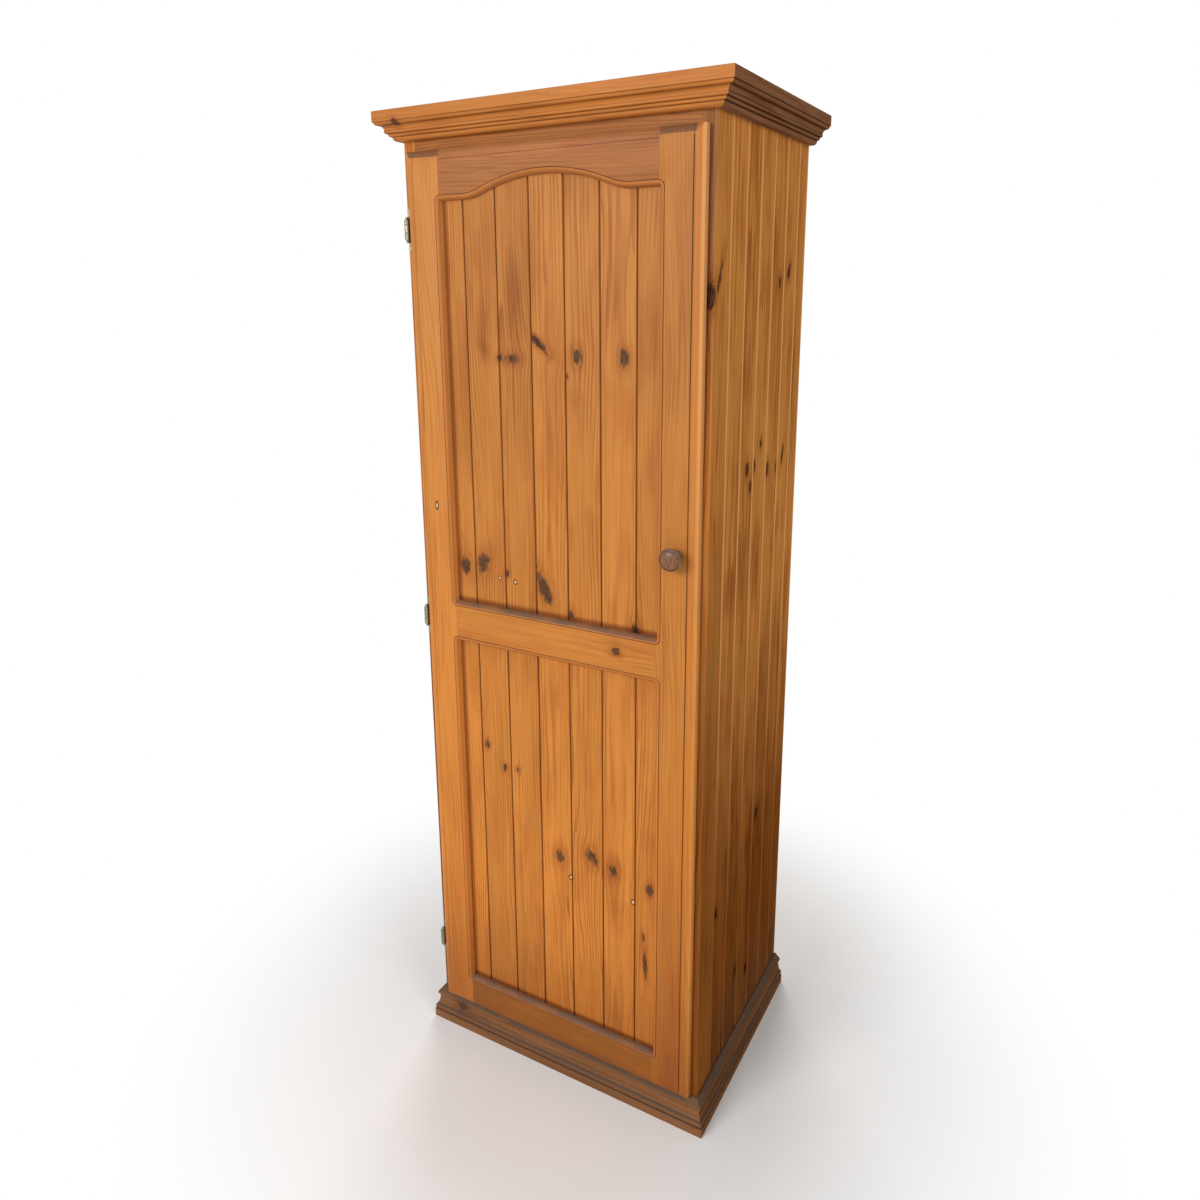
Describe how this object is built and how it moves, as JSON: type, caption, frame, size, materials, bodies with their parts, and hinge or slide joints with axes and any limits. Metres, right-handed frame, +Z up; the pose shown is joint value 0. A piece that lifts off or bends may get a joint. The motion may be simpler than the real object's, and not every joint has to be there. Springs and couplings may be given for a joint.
{
  "type": "storage cabinet",
  "caption": "Tall narrow pine cupboard with one arched panelled door, matched-board sides, moulded cornice and plinth, and shelves inside.",
  "frame": {"origin": "on the floor, in the middle of the whole object's box, knob and cornice included", "axes": "+X to the right seen from the front, the door faces -Y, +Z up"},
  "size_m": [0.678, 0.512, 1.885],
  "materials": {
    "antique_brass": "aged brass",
    "catch_plastic": "brown moulded plastic",
    "cornice_pine": "waxed pine, satin",
    "door_board_pine": "honey waxed pine, satin",
    "door_frame_pine": "honey waxed pine, satin",
    "face_frame_pine": "honey waxed pine, satin",
    "inner_pine": "bare pine, lightly sealed",
    "knob_wood": "dark waxed turned wood, satin",
    "plinth_pine": "darker waxed pine, worn",
    "side_board_pine": "brown waxed pine, satin",
    "zinc_steel": "zinc-plated steel"
  },
  "bodies": {
    "carcass": {"back_boards": "inner_pine", "bottom_face_rail": "face_frame_pine", "catch_body": "catch_plastic", "cornice_blocks": "cornice_pine", "cornice_front": "cornice_pine", "cornice_left": "cornice_pine", "cornice_right": "cornice_pine", "floor_panel": "inner_pine", "frieze_rail": "face_frame_pine", "hinge_pins": "antique_brass", "left_face_stile": "face_frame_pine", "left_rear_post": "inner_pine", "left_side_board_1": "side_board_pine", "left_side_board_2": "side_board_pine", "left_side_board_3": "side_board_pine", "left_side_board_4": "side_board_pine", "left_side_board_5": "side_board_pine", "left_side_board_6": "side_board_pine", "lower_frame_leaf": "antique_brass", "middle_frame_leaf": "antique_brass", "plinth_front": "plinth_pine", "plinth_left": "plinth_pine", "plinth_right": "plinth_pine", "right_face_stile": "face_frame_pine", "right_rear_post": "inner_pine", "right_side_board_1": "side_board_pine", "right_side_board_2": "side_board_pine", "right_side_board_3": "side_board_pine", "right_side_board_4": "side_board_pine", "right_side_board_5": "side_board_pine", "right_side_board_6": "side_board_pine", "shelf_1": "inner_pine", "shelf_2": "inner_pine", "shelf_3": "inner_pine", "side_battens": "inner_pine", "top_panel": "inner_pine", "upper_frame_leaf": "antique_brass"},
    "door": {"catch_plate": "zinc_steel", "door_board_1": "door_board_pine", "door_board_2": "door_board_pine", "door_board_3": "door_board_pine", "door_board_4": "door_board_pine", "door_board_5": "door_board_pine", "door_board_6": "door_board_pine", "door_board_7": "door_board_pine", "door_bottom_rail": "door_frame_pine", "door_hinge_stile": "door_frame_pine", "door_knob_stile": "door_frame_pine", "door_mid_rail": "door_frame_pine", "door_top_rail": "door_frame_pine", "knob": "knob_wood", "knob_screw": "zinc_steel", "lower_door_leaf": "antique_brass", "middle_door_leaf": "antique_brass", "upper_door_leaf": "antique_brass"}
  },
  "joints": [
    {"name": "door_hinge", "type": "hinge", "parent": "carcass", "child": "door", "pos_m": [-0.297, -0.2078, 0], "axis": [0, 0, -1], "range_deg": [0, 180]}
  ]
}
